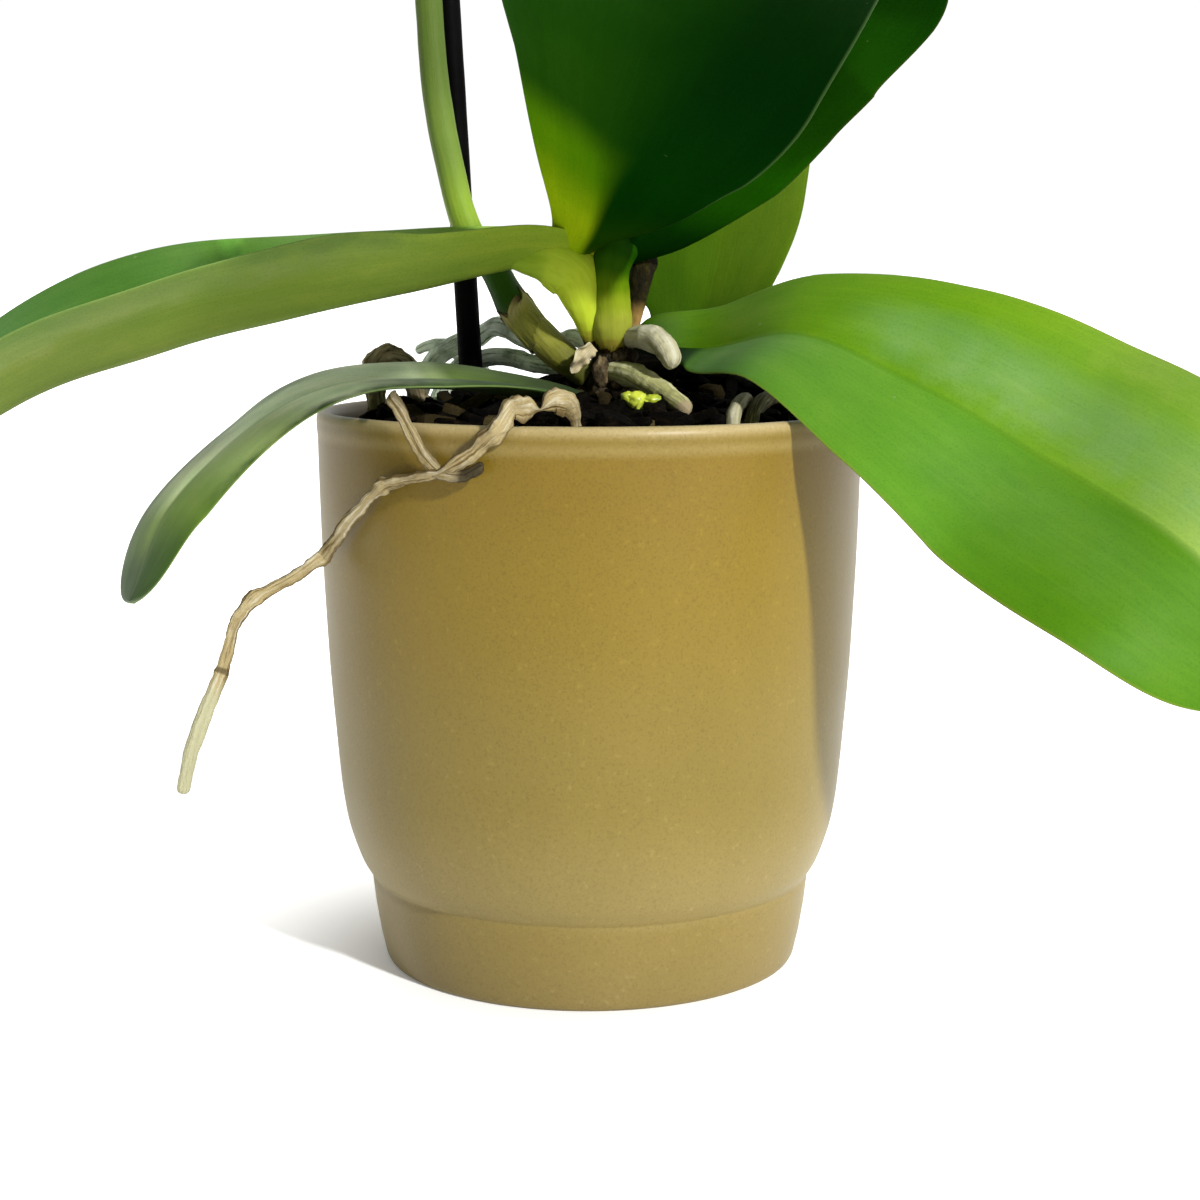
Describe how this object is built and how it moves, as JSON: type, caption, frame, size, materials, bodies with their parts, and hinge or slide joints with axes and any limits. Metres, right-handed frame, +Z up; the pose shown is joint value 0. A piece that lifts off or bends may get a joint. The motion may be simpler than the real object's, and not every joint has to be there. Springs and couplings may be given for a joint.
{
  "type": "potted moth orchid",
  "caption": "Moth orchid with broad arching leaves, aerial roots and a staked spike of open flowers and buds, planted in bark in a smooth stepped ceramic pot that stands on a flat surface.",
  "frame": {"origin": "the middle of the pot's underside, on the surface that the pot stands on", "axes": "+Z up along the pot's axis; +Y from the front of the pot to its back; +X to the right seen from the front"},
  "size_m": [0.3381, 0.3055, 0.5894],
  "materials": {
    "glaze": "satin",
    "clear": "gloss",
    "bark": "matte",
    "wood": "matte",
    "sheath": "satin",
    "leaf": "satin",
    "spike": "satin",
    "stake": "matte",
    "clip": "satin",
    "pale_root": "matte",
    "green_root": "matte",
    "silver_root": "matte",
    "dry_root": "matte",
    "shoot": "satin",
    "bloom": "matte",
    "lip": "matte",
    "bud": "matte"
  },
  "bodies": {
    "root": {"cover_pot": "glaze", "inner_pot": "clear", "sheaths": "sheath", "stem": "wood", "leaf_front": "leaf", "leaf_left": "leaf", "leaf_right_upper": "leaf", "leaf_right": "leaf", "leaf_back": "leaf", "leaf_old": "leaf", "stake": "stake", "clip_1": "clip", "clip_2": "clip", "bloom_1": "bloom", "lip_1": "lip", "bloom_2": "bloom", "lip_2": "lip", "bloom_3": "bloom", "lip_3": "lip", "bloom_4": "bloom", "lip_4": "lip", "bloom_5": "bloom", "lip_5": "lip", "bud_1": "bud", "bud_2": "bud", "bud_3": "bud", "bud_4": "bud", "root_pale": "pale_root", "root_green": "green_root", "root_silver_1": "silver_root", "root_silver_2": "silver_root", "root_silver_3": "silver_root", "root_loop": "dry_root", "root_back": "green_root", "root_right": "green_root", "root_strap_1": "green_root", "root_strap_2": "pale_root", "root_dry": "dry_root", "flower_spike": "spike", "new_root_tip": "shoot", "sheath_flake": "dry_root", "leaf_stub": "wood", "bark": "bark"}
  },
  "joints": []
}
